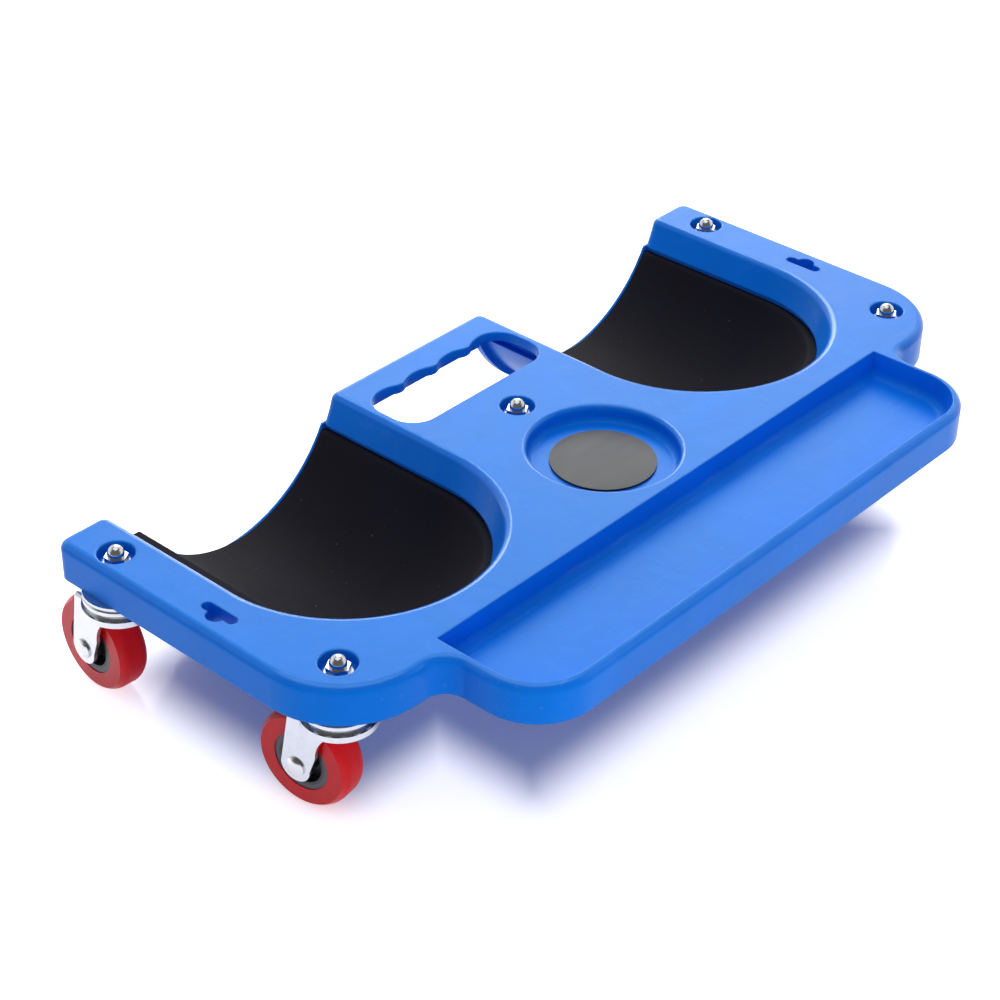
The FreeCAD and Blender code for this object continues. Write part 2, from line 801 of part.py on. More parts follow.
def lower_race(name):
    """The hardened ring pressed on the crown, which the ball row runs on."""
    return revolved("race_" + name, [
        ("kingpinradius + fit", "crowntop"),
        ("raceradius", "crowntop"),
        ("raceradius", "racetop - racechamfer"),
        ("raceradius - racechamfer", "racetop"),
        ("kingpinradius + fit", "racetop"),
    ])


def fork(name):
    """The pressed fork: a crown disc and two tapering legs, in one sheet."""
    body = new_body("fork_body_" + name)
    crown = body.newObject("PartDesign::AdditiveCylinder", "crown_" + name)
    place(bind(crown, Radius="crownradius", Height="crownthickness"), z="crownbottom")
    # side profile of both legs, padded to the full width and hollowed between them
    end = "forkendradius"
    reach = "trail + legtopreach"
    padded(body, "legs_" + name, "XZ_Plane", [
        ("trail - " + end, "wheelradius", end),
        ("trail", "wheelradius - " + end, end),
        ("trail + " + end, "wheelradius"),
        (reach, "crownbottom"),
        (reach, "crowntop"),
        ("-legrootreach", "crowntop"),
        ("-legrootreach", "crownbottom", "-legsweep"),
        ("trail - " + end + " - legwaistreach", "wheelradius + legwaistrise"),
    ], "forkwidth", both=True)
    inside = body.newObject("PartDesign::SubtractiveBox", "between_legs_" + name)
    bind(inside, Length="4 * crownradius", Width="forkgap", Height="crownbottom")
    place(inside, "-2 * crownradius", "-forkgap / 2")
    pin_hole = body.newObject("PartDesign::SubtractiveCylinder", "pin_hole_" + name)
    bind(pin_hole, Radius="kingpinradius + fit", Height="crowntop + wall")
    axle_hole = body.newObject("PartDesign::SubtractiveCylinder", "axle_hole_" + name)
    bind(axle_hole, Radius="axleradius + fit", Height="forkwidth + 2 * wall")
    place(axle_hole, "trail", "-forkwidth / 2 - wall", "wheelradius", TURN_TO_Y)
    top = value("crowntop")
    half = value("forkwidth / 2")

    def shoulder(edge):
        point = middle(edge)
        return near(point.z, top) and all(near(v.Z, top)
                                                 for v in edge.Vertexes) \
            and near(abs(point.y), half)

    body_fillet(body, "shoulder_" + name, "shoulderround", shoulder)
    return body


def axle(name):
    """The axle rivet with a domed head, its shank left long for the lock nut."""
    side = "forkwidth / 2"
    tail = "-(%s) - axlenutheight - axletail" % side
    dome_radius = "(axleheadradius ^ 2 + axledome ^ 2) / 2 / axledome"
    return revolved("axle_body_" + name, [
        ("0", tail),
        ("axleradius", tail),
        ("axleradius", side),
        ("axleheadradius", side),
        ("axleheadradius", side + " + axleheadheight - axledome", dome_radius),
        ("0", side + " + axleheadheight"),
    ])


def axle_nut(name):
    body = new_body("axle_nut_body_" + name)
    padded(body, "axle_nut_hex_" + name, "XY_Plane", hexagon("axlenutflats"), "axlenutheight")
    bore = body.newObject("PartDesign::SubtractiveCylinder", "axle_nut_bore_" + name)
    bind(bore, Radius="axleradius + fit", Height="axlenutheight")
    return body


def sleeve(name):
    """The plain bush that the wheel runs on, clamped between the legs."""
    half = "forkgap / 2"
    return revolved("sleeve_body_" + name, rectangle(
        "axleradius + fit", "axleradius + fit + sleevewall", "-" + half, half))


def wheel_core(name):
    """The moulded wheel centre: a hub, a web and a broad rim ring."""
    bore = "axleradius + 2 * fit + sleevewall"
    rim = "rimwidth / 2"
    web = "webthickness / 2"
    hub = "forkgap / 2 - hubgap"
    half = [(bore, hub), ("hubradius", hub), ("hubradius", web), ("rimhole", web),
            ("rimhole", rim), ("rimradius", rim)]
    other = [(radius, "-(%s)" % height) for radius, height in reversed(half)]
    return revolved("core_body_" + name, half + other)


def tread(name):
    """The tyre: flat sides, rounded shoulders and a slight crown."""
    half = "wheelwidth / 2"
    flat = "treadflat / 2"
    shoulder = "wheelradius - treadshoulder"
    return revolved("tread_body_" + name, [
        ("rimradius", "-(%s)" % half),
        (shoulder, "-(%s)" % half, "shoulderradius"),
        ("wheelradius", "-(%s)" % flat),
        ("wheelradius", flat, "shoulderradius"),
        (shoulder, half),
        ("rimradius", half),
    ])


def caster(name, x, y, heading):
    """One swivel caster: what is fixed to the board, what swivels, and the wheel."""
    ahead_x, ahead_y = along(heading, "trail")
    steer = Rotation(Vector(0, 0, 1), heading)
    # the axle's head is on the side away from the board's middle
    outward = 1 if x.startswith("-") or x == "0" else -1
    lay = Rotation(Vector(1, 0, 0), -90 * outward)
    for node, make in (("kingpin", kingpin), ("top_cup", top_cup), ("ball_cage", ball_cage)):
        subpart("%s_%s" % (node, name), place(make(name), x, y))
    for node, make in (("lower_race", lower_race), ("fork", fork)):
        subpart("%s_%s" % (node, name), place(make(name), x, y, "0", steer))
    centre = (x + " + " + ahead_x, y + " + " + ahead_y, "wheelradius")
    for node, make in (("axle", axle), ("sleeve", sleeve), ("wheel_core", wheel_core),
                       ("tread", tread)):
        subpart("%s_%s" % (node, name), place(make(name), *centre, steer * lay))
    nut_x, nut_y = along(heading + 90 * outward,
                         "-(forkwidth / 2 + axlenutheight)")
    nut_at = (centre[0] + " + " + nut_x, centre[1] + " + " + nut_y, "wheelradius")
    subpart("axle_nut_" + name, place(axle_nut(name), *nut_at, steer * lay))


# ---------------------------------------------------------------- assembly
platform()
knee_pad(-1)
knee_pad(1)
dish_disc()
subpart("acorn_nuts", compound("nut_group", [acorn_nut(n, x, y)
                                             for n, (x, y, _) in STEMS.items()]))
subpart("washers", compound("washer_group", [washer(n, x, y)
                                             for n, (x, y, _) in STEMS.items()]))
for caster_name, (stem_x, stem_y, caster_heading) in STEMS.items():
    caster(caster_name, stem_x, stem_y, caster_heading)
doc.recompute()

failed = [item.Name for item in doc.Objects
          if "Invalid" in item.State or "Error" in item.State]
if failed:
    raise RuntimeError("these objects failed: " + ", ".join(failed))
for label, item in SUBPARTS.items():
    if item.Shape.isNull() or not item.Shape.isValid():
        raise RuntimeError("bad shape: " + label)
os.makedirs("parts", exist_ok=True)
for label, item in SUBPARTS.items():
    item.Shape.exportStep(os.path.join("parts", label + ".step"))
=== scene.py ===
"""Kneeling creeper: foam pads, bearing balls, finishes and a studio round the fixed frame."""
import json
import math

import bmesh
import bpy
from bpy.props import FloatProperty, FloatVectorProperty, IntProperty, PointerProperty
from mathutils import Matrix, Quaternion, Vector, noise


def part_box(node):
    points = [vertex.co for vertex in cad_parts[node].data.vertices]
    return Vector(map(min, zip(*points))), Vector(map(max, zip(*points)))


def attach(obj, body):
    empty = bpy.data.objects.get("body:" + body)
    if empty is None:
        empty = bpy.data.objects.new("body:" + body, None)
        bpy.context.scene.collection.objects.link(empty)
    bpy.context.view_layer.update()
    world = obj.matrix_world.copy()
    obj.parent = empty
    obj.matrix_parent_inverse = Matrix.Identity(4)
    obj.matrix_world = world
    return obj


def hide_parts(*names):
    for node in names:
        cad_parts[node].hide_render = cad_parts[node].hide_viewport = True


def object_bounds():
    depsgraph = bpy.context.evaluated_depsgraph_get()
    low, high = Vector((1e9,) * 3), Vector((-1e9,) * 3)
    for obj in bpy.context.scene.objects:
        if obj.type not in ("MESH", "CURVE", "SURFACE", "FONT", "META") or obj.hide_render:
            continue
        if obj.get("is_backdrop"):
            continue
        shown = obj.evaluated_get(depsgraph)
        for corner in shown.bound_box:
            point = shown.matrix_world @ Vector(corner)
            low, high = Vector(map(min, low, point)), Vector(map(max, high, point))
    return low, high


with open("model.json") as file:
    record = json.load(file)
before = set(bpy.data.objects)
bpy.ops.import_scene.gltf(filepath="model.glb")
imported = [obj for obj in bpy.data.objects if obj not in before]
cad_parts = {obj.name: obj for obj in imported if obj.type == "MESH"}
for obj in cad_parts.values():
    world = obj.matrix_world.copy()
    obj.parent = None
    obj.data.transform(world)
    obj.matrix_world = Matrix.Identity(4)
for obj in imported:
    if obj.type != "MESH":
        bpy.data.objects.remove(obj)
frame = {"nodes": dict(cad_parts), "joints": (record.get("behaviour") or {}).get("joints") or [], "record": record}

bl_info = {
    "name": "Kneeling Creeper",
    "version": (1, 0, 0),
    "blender": (4, 5, 0),
    "location": "3D View > Sidebar > Creeper",
    "description": "Dresses a kneeling creeper: pads, bearings, finishes and a studio",
    "category": "Object",
}

CASTERS = ("rear_left", "rear_right", "front_left", "front_right", "centre")
JOINTS = {joint["name"]: joint for joint in frame["joints"]}
OPENINGS = {opening["name"]: [Vector(corner) for corner in opening["box_m"]]
            for opening in frame["record"]["physics"]["openings"]}

# metres: how far back the tray reaches, and the corners of the board's outline at its wings
# and at its tray
TRAY_REAR = -0.0645
WING_CORNER = 0.045
TRAY_CORNER = 0.032

# metres from the board's outline, below 0 inside it: the floor's glow paints its shadow, dim up to the first and
# white from the second
SHADE = (-0.046, -0.008)

# how finely a pad is divided: along each straight side, round its end, over its skin,
# over its back and across its rim
SIDE_STEPS, TURN_STEPS, SKIN_STEPS, BACK_STEPS, RIM_STEPS = 18, 44, 26, 14, 3

# each lamp's name, place, width and height, power setting, and whether mirrors show it
LAMPS = (
    ("key_lamp", (0.0, 0.30, 2.20), (2.0, 2.0), "key", True),
    ("back_lamp", (1.60, 1.46, 1.48), (1.7, 1.7), "sheen", True),
    ("front_lamp", (-0.35, -0.75, 0.12), (1.0, 0.22), "front", False),
)

# the camera's place in metres; azimuth, elevation and roll in degrees; shift across and up
CAMERA_PLACE = (-0.760, -0.619, 0.711)
CAMERA_TURN = (-48.09, 34.38, 0.58)
CAMERA_SHIFT = (0.0213, 0.0025)


# ---------------------------------------------------------------- settings
class BoardSettings(bpy.types.PropertyGroup):
    """The moulded board and the parts let into it."""

    colour: FloatVectorProperty(
        name="Board colour", description="Colour of the moulded polypropylene",
        subtype="COLOR", size=3, min=0.0, max=1.0, default=(0.002, 0.215, 0.88))
    grain: FloatProperty(
        name="Grain", description="Size of the fine grain on the moulded faces",
        unit="LENGTH", precision=5, min=0.0001, default=0.0011)
    edge: FloatProperty(
        name="Edge radius", description="How far the small moulded edges look rounded",
        unit="LENGTH", precision=5, min=0.0, default=0.0012)
    disc: FloatVectorProperty(
        name="Disc colour", description="Colour of the bare disc in the round dish",
        subtype="COLOR", size=3, min=0.0, max=1.0, default=(0.022, 0.024, 0.028))


class PadSettings(bpy.types.PropertyGroup):
    """The two foam knee pads."""

    colour: FloatVectorProperty(
        name="Foam colour", description="Colour of the foam's skin",
        subtype="COLOR", size=3, min=0.0, max=1.0, default=(0.0098, 0.0092, 0.0138))
    cup_radius: FloatProperty(
        name="Cup radius", description="Radius of the hollow that the knee rests in",
        unit="LENGTH", precision=4, min=0.01, default=0.0685)
    cup_shift: FloatProperty(
        name="Cup shift", description="How far the hollow stands to the right of the pad's middle",
        unit="LENGTH", precision=4, default=0.0051)
    cup_sink: FloatProperty(
        name="Cup sink", description="How far the hollow's axis is below the pad's own",
        unit="LENGTH", precision=4, default=0.0073)
    rounding: FloatProperty(
        name="Edge rounding", description="Radius of the pad's soft inner edge",
        unit="LENGTH", precision=4, min=0.0002, default=0.0016)
    unevenness: FloatProperty(
        name="Unevenness", description="How far the foam's skin waves in and out",
        unit="LENGTH", precision=5, min=0.0, default=0.0003)


class CasterSettings(bpy.types.PropertyGroup):
    """The five swivel casters."""

    tread: FloatVectorProperty(
        name="Tread colour", description="Colour of the urethane tread",
        subtype="COLOR", size=3, min=0.0, max=1.0, default=(0.86, 0.006, 0.010))
    rim: FloatVectorProperty(
        name="Rim colour", description="Colour of the wheel's rim",
        subtype="COLOR", size=3, min=0.0, max=1.0, default=(0.07, 0.078, 0.09))
    rim_hole: FloatProperty(
        name="Rim hole", description="Inner radius of the wheel's pale rim",
        unit="LENGTH", precision=4, min=0.001, default=0.0126)
    plating: FloatVectorProperty(
        name="Plating colour", description="Colour of the zinc plating",
        subtype="COLOR", size=3, min=0.0, max=1.0, default=(0.62, 0.64, 0.67))
    ball_radius: FloatProperty(
        name="Ball radius", description="Radius of one bearing ball",
        unit="LENGTH", precision=4, min=0.0005, default=0.0020)
    ball_circle: FloatProperty(
        name="Ball circle", description="Radius of the circle that the balls run on",
        unit="LENGTH", precision=4, min=0.001, default=0.0137)
    ball_count: IntProperty(
        name="Balls", description="Number of balls in each bearing", min=3, max=24, default=14)


class StageSettings(bpy.types.PropertyGroup):
    """The floor, the lamps and the camera."""

    floor: FloatVectorProperty(
        name="Floor colour", description="Colour of the plain floor",
        subtype="COLOR", size=3, min=0.0, max=1.0, default=(0.93, 0.93, 0.945))
    fill: FloatProperty(
        name="Sky level", description="Strength of the even light from all round",
        min=0.0, max=1.0, default=0.29)
    key: FloatProperty(
        name="Key lamp", description="Power of the large lamp above", unit="POWER",
        min=0.0, default=13.5)
    sheen: FloatProperty(
        name="Back lamp", description="Power of the lamp behind, whose sheen lies on the deck",
        unit="POWER", min=0.0, default=37.0)
    front: FloatProperty(
        name="Front lamp", description="Power of the low lamp in front, for the upright faces",
        unit="POWER", min=0.0, default=1.7)
    lens: FloatProperty(
        name="Lens", description="Focal length of the camera in millimetres",
        min=10.0, default=84.04)


# ---------------------------------------------------------------- shader maths
class Value:
    """A shader socket that works in sums; each sum adds one Math node."""

    def __init__(self, shader, socket):
        self.shader = shader
        self.socket = socket

    def math(self, operation, *others):
        return self.shader.math(operation, self, *others)

    def __add__(self, other):
        return self.math("ADD", other)

    def __sub__(self, other):
        return self.math("SUBTRACT", other)

    def __rsub__(self, other):
        return self.shader.math("SUBTRACT", other, self)

    def __mul__(self, other):
        return self.math("MULTIPLY", other)

    def __truediv__(self, other):
        return self.math("DIVIDE", other)

    def __pow__(self, other):
        return self.math("POWER", other)

    __radd__ = __add__
    __rmul__ = __mul__


class Shader:
    """The node tree of one finish, or of the world."""

    def __init__(self, tree):
        self.tree = tree
        tree.nodes.clear()

    def node(self, kind, inputs=None, output=0, **settings):
        """Adds one node: its settings first, then the values or links of its sockets."""
        made = self.tree.nodes.new(kind)
        for name, setting in settings.items():
            setattr(made, name, setting)
        for name, given in (inputs or {}).items():
            if isinstance(given, Value):
                self.tree.links.new(given.socket, made.inputs[name])
            else:
                made.inputs[name].default_value = given
        return Value(self, made.outputs[output]) if made.outputs else None

    def math(self, operation, *values):
        return self.node("ShaderNodeMath", dict(enumerate(values)), operation=operation)

    def vector_math(self, operation, *values, output=0):
        return self.node("ShaderNodeVectorMath", dict(enumerate(values)), output,
                         operation=operation)

    def place(self):
        """Where a point of the piece is at rest, in metres."""
        return self.node("ShaderNodeTexCoord", output="Object")

    def noise(self, size, detail=2.0, rough=0.5, stretch=None, warp=0.0):
        """Smooth noise whose lumps are about size metres across, from 0 to 1."""
        where = self.place()
        if stretch:
            where = self.vector_math("MULTIPLY", where, stretch)
        return self.node("ShaderNodeTexNoise", {"Vector": where, "Scale": 1.0 / size,
                                                "Detail": detail, "Roughness": rough,
                                                "Distortion": warp})

    def cells(self, size):
        """Distance to the nearest of scattered points about size metres apart."""
        return self.node("ShaderNodeTexVoronoi", {"Vector": self.place(), "Scale": 1.0 / size},
                         "Distance")

    def step(self, value, low, high):
        """0 below low, 1 above high, smooth between them."""
        return self.node("ShaderNodeMapRange", {"Value": value, "From Min": low,
                                                "From Max": high},
                         interpolation_type="SMOOTHSTEP")

    def blend(self, factor, first, second):
        """Mixes two colours; each is a colour of three or four numbers, or a Value."""
        def full(colour):
            return colour if isinstance(colour, Value) else (*colour[:3], 1.0)
        return self.node("ShaderNodeMix", {0: factor, 6: full(first), 7: full(second)}, 2,
                         data_type="RGBA")

    def bump(self, height, distance, strength=1.0, normal=None):
        inputs = {"Height": height, "Distance": distance, "Strength": strength}
        if normal:
            inputs["Normal"] = normal
        return self.node("ShaderNodeBump", inputs, "Normal")

    def component(self, vector, number):
        """The x, y or z of a vector, by its number 0, 1 or 2."""
        return self.node("ShaderNodeSeparateXYZ", {0: vector}, number)

    def axis(self, number):
        """How far along x, y or z the point is, in metres."""
        return self.component(self.place(), number)

    def beyond(self, low, high, corner):
        """How far a point of the floor is outside a rounded rectangle, or below 0 inside."""
        middle = tuple((a + b) / 2 for a, b in zip(low, high))
        core = ((high.x - low.x) / 2 - corner, (high.y - low.y) / 2 - corner, 0.0)
        offset = self.vector_math("ABSOLUTE", self.vector_math("SUBTRACT", self.place(), middle))
        offset = self.vector_math("SUBTRACT", offset, core)
        outside = self.vector_math("LENGTH", self.vector_math("MAXIMUM", offset, (0.0, 0.0, 0.0)),
                                   output="Value")
        across, along = self.component(offset, 0), self.component(offset, 1)
        return outside + across.math("MAXIMUM", along).math("MINIMUM", 0.0) - corner

    def ray(self, kind):
        """1 where a ray of this kind meets the surface."""
        return self.node("ShaderNodeLightPath", output="Is %s Ray" % kind)

    def wheel_place(self, joint):
        """Distance from the wheel's middle plane, and from its axle."""
        offset = self.vector_math("SUBTRACT", self.place(), tuple(joint["pos_m"]))
        along = self.vector_math("DOT_PRODUCT", offset, tuple(joint["axis"]), output="Value")
        length = self.vector_math("LENGTH", offset, output="Value")
        return along.math("ABSOLUTE"), (length * length - along * along).math("SQRT")

    def surface(self, **sockets):
        """The shader itself, from its sockets by name with underscores for spaces."""
        inputs = {name.replace("_", " "): given for name, given in sockets.items()}
        shader = self.node("ShaderNodeBsdfPrincipled", inputs)
        self.node("ShaderNodeOutputMaterial", {"Surface": shader})


def finish(name):
    """A new finish and the shader that builds it."""
    material = bpy.data.materials.new(name)
    material.use_nodes = True
    return material, Shader(material.node_tree)


def scaled(colour, factor):
    """The colour made lighter or darker."""
    return tuple(min(1.0, channel * factor) for channel in colour)


# ---------------------------------------------------------------- finishes
def moulded_plastic(settings):
    """Satin blue polypropylene: flow marks, fine grain, glossy upper edges with a painted highlight line, small
    edges made paler partly as painted highlight, a scuffed tray.
    """
    material, s = finish("blue_polypropylene")
    colour = settings.colour
    flow = s.noise(0.09, 3.0, 0.55, warp=0.8)
    cloud = s.noise(0.012, 4.0, 0.6)
    pebble = s.noise(settings.grain, 2.0, 0.5)
    swirl = s.noise(0.035, 2.0, 0.4, warp=2.0)
    in_tray = s.step(s.axis(1), TRAY_REAR + 0.002, TRAY_REAR - 0.002)
    scratches = s.noise(0.004, 3.0, 0.7, stretch=(0.12, 1.6, 1.0))
    scuffs = s.step(scratches, 0.60, 0.72) * in_tray
    rounded = s.node("ShaderNodeBevel", {"Radius": settings.edge}, samples=3)
    flat = s.node("ShaderNodeNewGeometry", output="Normal")
    edge = s.step(s.vector_math("DOT_PRODUCT", rounded, flat, output="Value"), 0.985, 0.90)
    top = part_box("platform")[1].z
    steep = s.component(flat, 2)
    # painted highlight: a thin paler line on the nearly flat start of the rounded top edges, smoother there too
    painted_highlight_line = (s.step(s.axis(2), top - 0.0045, top - 0.0025) * s.step(steep, 0.84, 0.92)
            * s.step(steep, 0.997, 0.975))
    lip = (s.step(s.axis(2), top - 0.0055, top - 0.0030) * s.step(steep, 0.40, 0.65)
           * s.step(steep, 0.998, 0.975))
    base = s.blend(s.step(flow, 0.3, 0.75), scaled(colour, 0.93), scaled(colour, 1.06))
    base = s.blend(s.step(cloud, 0.52, 0.80) * 0.18, base,
                   (colour[0] + 0.06, colour[1] + 0.07, colour[2]))
    # paler small edges: partly stress-whitened plastic, partly a painted highlight
    base = s.blend(edge * 0.20, base, (colour[0] + 0.10, colour[1] + 0.14, 0.95))
    # the painted highlight line lightens the colour here
    base = s.blend(painted_highlight_line * 0.25, base, (0.10, 0.45, 1.0))
    base = s.blend(scuffs * 0.10, base, (0.30, 0.45, 0.95))
    rough = 0.33 + (cloud - 0.5) * 0.10 + (flow - 0.5) * 0.08 + scuffs * 0.10 - painted_highlight_line * 0.12
    relief = pebble * 0.7 + cloud * 1.8 + swirl * 3.0
    s.surface(Base_Color=base, Roughness=rough, IOR=1.49, Specular_IOR_Level=0.20,
              Specular_Tint=(0.25, 1.0, 1.0, 1.0), Coat_Weight=lip * 0.6, Coat_Roughness=0.14,
              Normal=s.bump(relief, 0.00012, 0.55, rounded))
    return material


def foam_skin(settings):
    """Near-black closed-cell foam with a smooth skin, fine pits and a few pale specks."""
    material, s = finish("black_foam")
    colour = settings.colour
    broad = s.noise(0.05, 2.0, 0.5)
    fine = s.noise(0.0011, 3.0, 0.65)
    streaks = s.noise(0.003, 2.0, 0.5, stretch=(1.0, 0.08, 1.0))
    pits = s.step(s.cells(0.0021), 0.30, 0.12)
    specks = s.step(s.noise(0.0017, 0.0), 0.865, 0.885)
    base = s.blend(s.step(broad, 0.3, 0.7), scaled(colour, 0.85), scaled(colour, 1.25))
    base = s.blend(fine * 0.5, base, scaled(colour, 1.7))
    base = s.blend(specks * 0.45, base, (0.12, 0.12, 0.13))
    rough = 0.58 + broad * 0.10 + fine * 0.12 + streaks * 0.06
    relief = fine * 0.6 - pits * 0.5 + streaks * 0.5
    s.surface(Base_Color=base, Roughness=rough, Specular_IOR_Level=0.10,
              Normal=s.bump(relief, 0.00016, 0.7))
    return material


def foam_cut(settings):
    """The foam where it was cut: duller, open-celled with painted shade in the cells' pits, and lined by the
    blade.
    """
    material, s = finish("black_foam_cut")
    colour = settings.colour
    cells = s.cells(0.0008)
    saw = s.noise(0.0009, 2.0, 0.6, stretch=(1.0, 1.0, 0.2))
    base = s.blend(saw, scaled(colour, 1.1), scaled(colour, 2.6))
    # painted shade: the open cells' pits are darkened
    base = s.blend(s.step(cells, 0.35, 0.1) * 0.6, base, scaled(colour, 0.5))
    s.surface(Base_Color=base, Roughness=0.72 + saw * 0.15, Specular_IOR_Level=0.10,
              Normal=s.bump(saw * 0.8 + cells, 0.00025, 0.8))
    return material


def matt_disc(settings):
    """A bare dark-grey disc, a little domed, with fine grain and faint wiping marks."""
    material, s = finish("dark_grey_disc")
    colour = settings.disc
    fine = s.noise(0.0006, 2.0, 0.6)
    wiped = s.noise(0.010, 3.0, 0.6, stretch=(0.35, 1.4, 1.0), warp=0.4)
    low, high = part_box("dish_disc")
    middle = (low + high) / 2
    out = s.vector_math("LENGTH", s.vector_math("SUBTRACT", s.place(), tuple(middle)),
                        output="Value")
    radius = (high.x - low.x) / 2
    dome = (out / radius) ** 2.0 * -0.9
    gate = s.step(out, 0.0050, 0.0) * -0.12
    base = s.blend(wiped, scaled(colour, 0.9), scaled(colour, 1.4))
    rough = 0.38 + wiped * 0.14 + fine * 0.05
    s.surface(Base_Color=base, Roughness=rough, Specular_IOR_Level=0.42,
              Normal=s.bump(fine * 0.05 + dome + gate, 0.0006, 0.8))
    return material


def urethane(settings, joint, wheel_radius):
    """Red urethane with a mould line round the middle and dust on the running face."""
    material, s = finish("red_urethane_" + joint["name"].replace("wheel_", ""))
    colour = settings.tread
    across, out = s.wheel_place(joint)
    cloud = s.noise(0.006, 3.0, 0.55)
    fine = s.noise(0.0007, 2.0, 0.6)
    nicks = s.step(s.noise(0.0022, 2.0, 0.6), 0.70, 0.76)
    running = s.step(out, wheel_radius - 0.0012, wheel_radius - 0.0003)
    line = s.step(across, 0.00028, 0.00006) * running
    base = s.blend(cloud, scaled(colour, 0.86), scaled(colour, 1.10))
    base = s.blend(running * s.step(cloud, 0.45, 0.8) * 0.16, base, (0.60, 0.03, 0.03))
    base = s.blend(line * 0.35, base, scaled(colour, 1.35))
    rough = 0.26 + cloud * 0.08 + running * 0.22 + nicks * running * 0.10
    relief = fine * 0.25 + cloud * 0.5 + line * 1.2 - nicks * running * 0.8
    s.surface(Base_Color=base, Roughness=rough, IOR=1.50, Specular_IOR_Level=0.28,
              Subsurface_Weight=0.08, Subsurface_Scale=0.002,
              Subsurface_Radius=(1.0, 0.25, 0.2),
              Normal=s.bump(relief, 0.00012, 0.6))
    return material


def wheel_hub(settings, joint):
    """A grey rim round a black hub, both moulded with faint turning rings; the black reaches over the rim's flat
    inner face, partly the hub's own black and partly painted shade of its recess.
    """
    material, s = finish("wheel_hub_" + joint["name"].replace("wheel_", ""))
    rim = settings.rim
    across, out = s.wheel_place(joint)
    fine = s.noise(0.0008, 2.0, 0.6)
    rings = (out * 5200.0).math("SINE")
    # inside rim_hole the hub's black also covers the rim's flat inner face: painted shade of the recess
    on_rim = s.step(out, settings.rim_hole - 0.0002, settings.rim_hole + 0.0002)
    grey = s.blend(fine, scaled(rim, 0.85), scaled(rim, 1.2))
    black = s.blend(fine, (0.010, 0.010, 0.011), (0.022, 0.022, 0.024))
    rough = 0.36 + fine * 0.12 - on_rim * 0.04
    s.surface(Base_Color=s.blend(on_rim, black, grey), Roughness=rough,
              Normal=s.bump(rings * 0.15 + fine * 0.5, 0.00006, 0.5))
    return material


def zinc_plating(settings, name, dull):
    """Zinc plating on pressed steel: pale, a little mottled, and as rough as dull at least."""
    material, s = finish(name)
    colour = settings.plating
    mottle = s.noise(0.004, 4.0, 0.6, warp=0.6)
    rolled = s.noise(0.0009, 2.0, 0.6, stretch=(1.0, 1.0, 0.12))
    spots = s.step(s.noise(0.0013, 2.0, 0.6), 0.68, 0.78)
    base = s.blend(mottle, scaled(colour, 0.90), scaled(colour, 1.12))
    base = s.blend(spots * 0.25, base, (0.50, 0.52, 0.56))
    rough = dull + mottle * 0.12 + rolled * 0.06 + spots * 0.08
    s.surface(Base_Color=base, Metallic=1.0, Roughness=rough,
              Normal=s.bump(mottle * 0.5 + rolled * 0.2, 0.00003, 0.25))
    return material


def polished_chrome():
    """Chromed steel of the acorn nuts, axles and axle nuts, with faint polishing marks."""
    material, s = finish("polished_chrome")
    haze = s.noise(0.003, 3.0, 0.6)
    marks = s.noise(0.0007, 2.0, 0.6, stretch=(1.0, 1.0, 0.2))
    base = s.blend(haze, (0.58, 0.59, 0.60), (0.70, 0.70, 0.71))
    s.surface(Base_Color=base, Metallic=1.0, Roughness=0.07 + haze * 0.07 + marks * 0.04,
              Normal=s.bump(marks * 0.4 + haze * 0.5, 0.00004, 0.4))
    return material


def ball_steel():
    """Ground steel of the bearing balls, with a thin film of grease."""
    material, s = finish("ball_steel")
    smear = s.noise(0.0015, 2.0, 0.6)
    base = s.blend(smear, (0.50, 0.51, 0.53), (0.72, 0.73, 0.74))
    s.surface(Base_Color=base, Metallic=1.0, Roughness=0.10 + smear * 0.16)
    return material


def cage_plastic():
    """Black moulded plastic of the bearing cages."""
    material, s = finish("cage_plastic")
    fine = s.noise(0.0006, 2.0, 0.6)
    flow = s.noise(0.005, 2.0, 0.5)
    base = s.blend(flow, (0.010, 0.010, 0.011), (0.024, 0.024, 0.026))
    s.surface(Base_Color=base, Roughness=0.38 + fine * 0.15, Normal=s.bump(fine, 0.00005, 0.5))
    return material


def axle_plastic():
    """Grey plastic of the sleeves that the wheels turn on."""
    material, s = finish("axle_plastic")
    fine = s.noise(0.0007, 2.0, 0.6)
    flow = s.noise(0.004, 2.0, 0.5)
    base = s.blend(flow, (0.15, 0.155, 0.16), (0.24, 0.245, 0.25))
    s.surface(Base_Color=base, Roughness=0.40 + fine * 0.15, Normal=s.bump(fine, 0.00005, 0.5))
    return material


def give(node, material):
    """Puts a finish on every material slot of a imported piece."""
    for slot in frame["nodes"][node].material_slots:
        slot.material = material


# ---------------------------------------------------------------- new pieces
def new_piece(name, mesh_maker, *materials):
    """An object in the scene from a filled bmesh and its finishes."""
    mesh = bpy.data.meshes.new(name)
    work = bmesh.new()
    mesh_maker(work)
    bmesh.ops.recalc_face_normals(work, faces=work.faces)
    work.to_mesh(mesh)
    work.free()
    mesh.shade_smooth()
    piece = bpy.data.objects.new(name, mesh)
    bpy.context.scene.collection.objects.link(piece)
    for material in materials:
        mesh.materials.append(material)
    return piece


def trough_point(centre, radius, turn, angle):
    """A point of a lying cylinder that ends in a ball.

    centre is the ball's. turn is the place along the U: below 0 it is metres of cylinder on
    the left, from 0 to 1 the half turn round the ball, above 1 metres of cylinder on the
    right. angle is measured from the bottom line.
    """
    around = math.pi * (1.0 + min(max(turn, 0.0), 1.0))
    back = -min(turn, 0.0) + max(turn - 1.0, 0.0)
    side = radius * math.sin(angle)
    return centre + Vector((side * math.cos(around), side * math.sin(around) + back,
                            -radius * math.cos(angle)))


